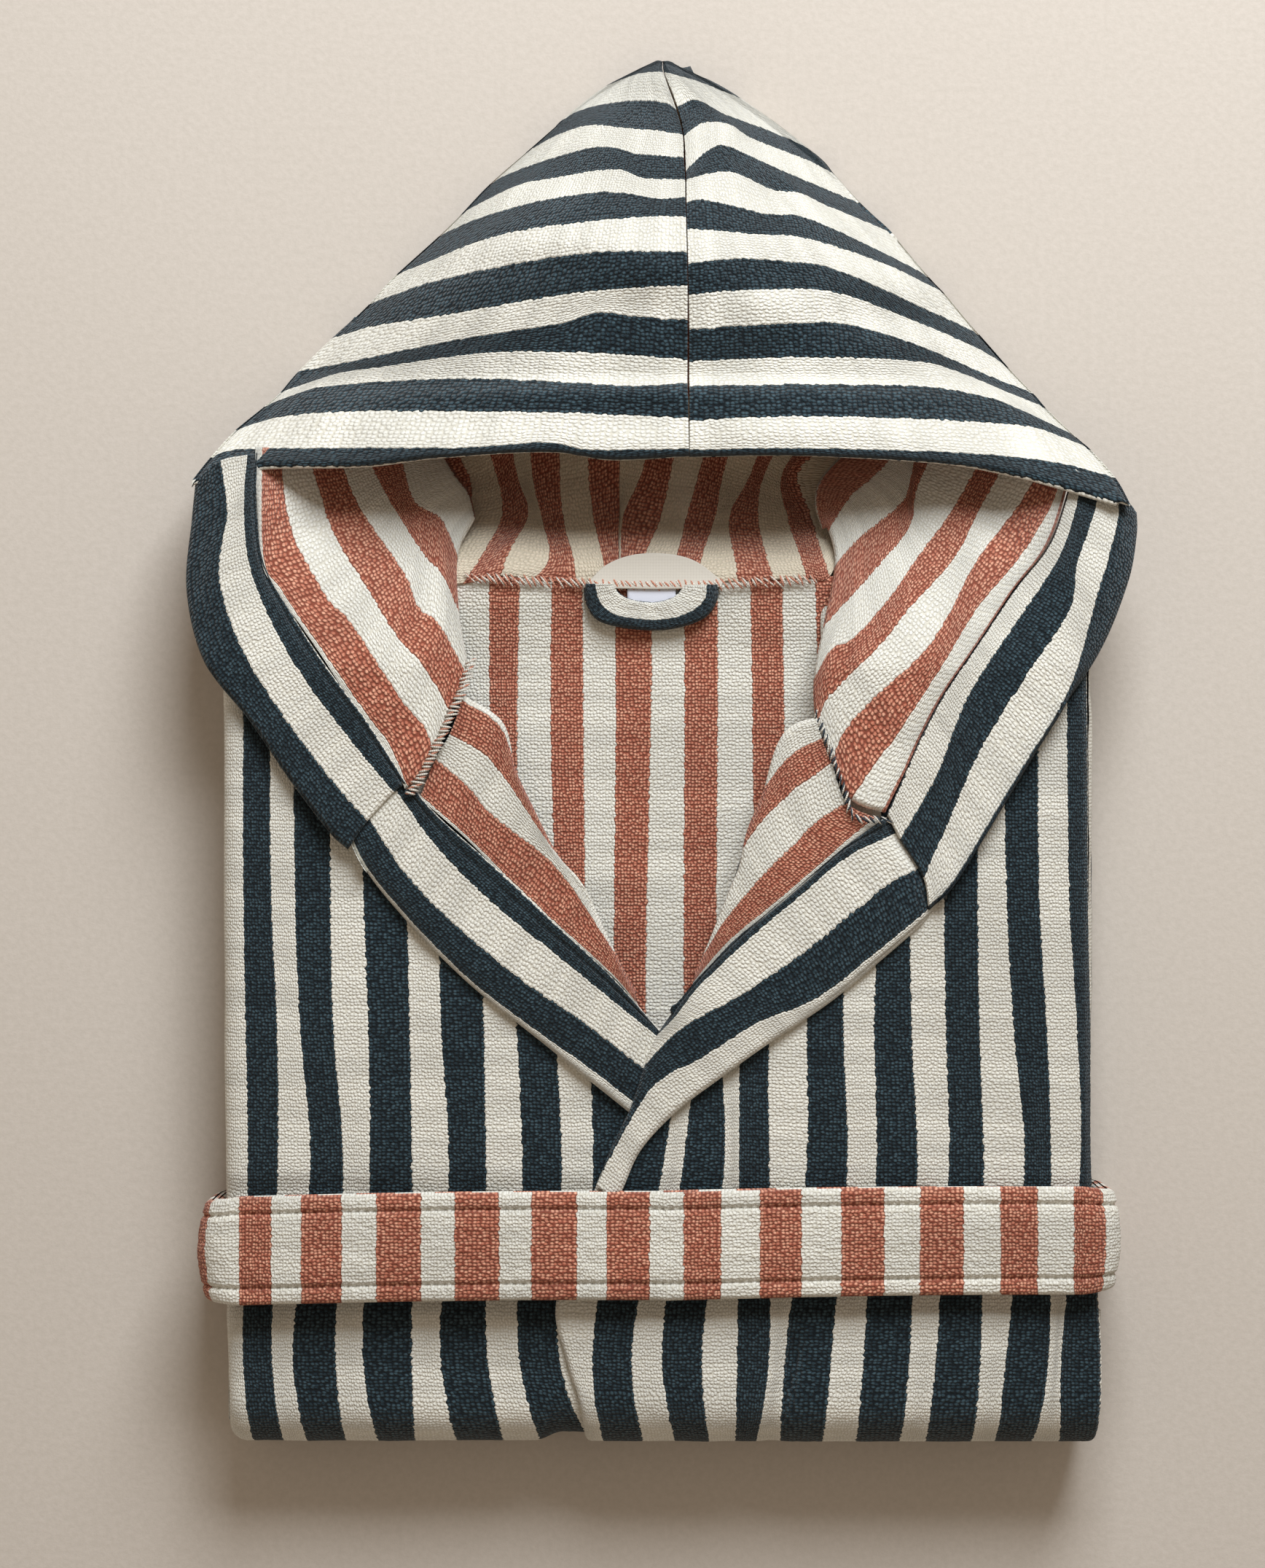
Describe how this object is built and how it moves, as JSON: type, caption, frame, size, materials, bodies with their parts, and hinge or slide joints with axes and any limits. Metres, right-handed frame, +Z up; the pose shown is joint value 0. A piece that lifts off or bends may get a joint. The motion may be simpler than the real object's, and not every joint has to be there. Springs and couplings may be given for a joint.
{
  "type": "folded hooded child's bathrobe",
  "caption": "Hooded child's terry bathrobe with striped outer and inner faces, folded flat for display, hood spread open, belt wrapped round the folded pack.",
  "frame": {"origin": "bottom centre of the bounding box, on the surface the folded robe rests on", "axes": "+Z up out of the pack, +Y towards the hood's peak, +X to the viewer's right"},
  "size_m": [0.3409, 0.5, 0.058],
  "materials": {
    "outer_terry": "terry loops, navy and cream stripes",
    "inner_terry": "terry loops, coral and cream stripes",
    "belt_terry": "terry loops, coral and cream cross stripes",
    "cream_terry": "plain cream terry",
    "woven_label": "blank woven cloth label",
    "satin_tag": "blank satin tag"
  },
  "bodies": {
    "pack": {"skirt_middle_third": "outer_terry", "skirt_hem_third": "outer_terry", "sleeve_left": "outer_terry", "sleeve_right": "outer_terry", "back_panel": "inner_terry", "side_fold_left": "outer_terry", "side_fold_right": "outer_terry", "front_panel_left": "outer_terry", "front_panel_right": "outer_terry", "lapel_left": "inner_terry", "lapel_right": "inner_terry", "front_band_left": "outer_terry", "front_band_right": "outer_terry", "hood_flap_left": "inner_terry", "hood_flap_right": "inner_terry", "hood_band_left": "outer_terry", "hood_band_right": "outer_terry", "neck_seam": "inner_terry", "brand_label": "woven_label", "belt_loop_right": "cream_terry", "care_label": "satin_tag"},
    "hood": {"hood_front_left": "outer_terry", "hood_front_right": "outer_terry", "hood_back_left": "inner_terry", "hood_back_right": "inner_terry", "hood_centre_seam": "outer_terry", "hood_hem": "outer_terry"},
    "belt": {"belt_outer_wrap": "belt_terry", "belt_inner_wrap": "belt_terry"},
    "loop": {"hanging_loop": "outer_terry"}
  },
  "joints": [
    {"name": "belt_slide", "type": "slide", "parent": "pack", "child": "belt", "axis": [0, -1, 0], "range_m": [0, 0.1]},
    {"name": "hood_lift", "type": "hinge", "parent": "pack", "child": "hood", "pos_m": [0, 0.074, 0.034], "axis": [1, 0, 0], "range_deg": [0, 70]},
    {"name": "loop_flip", "type": "hinge", "parent": "pack", "child": "loop", "pos_m": [-0.0042, 0.056, 0.0345], "axis": [-1, 0, 0], "range_deg": [0, 70]}
  ]
}
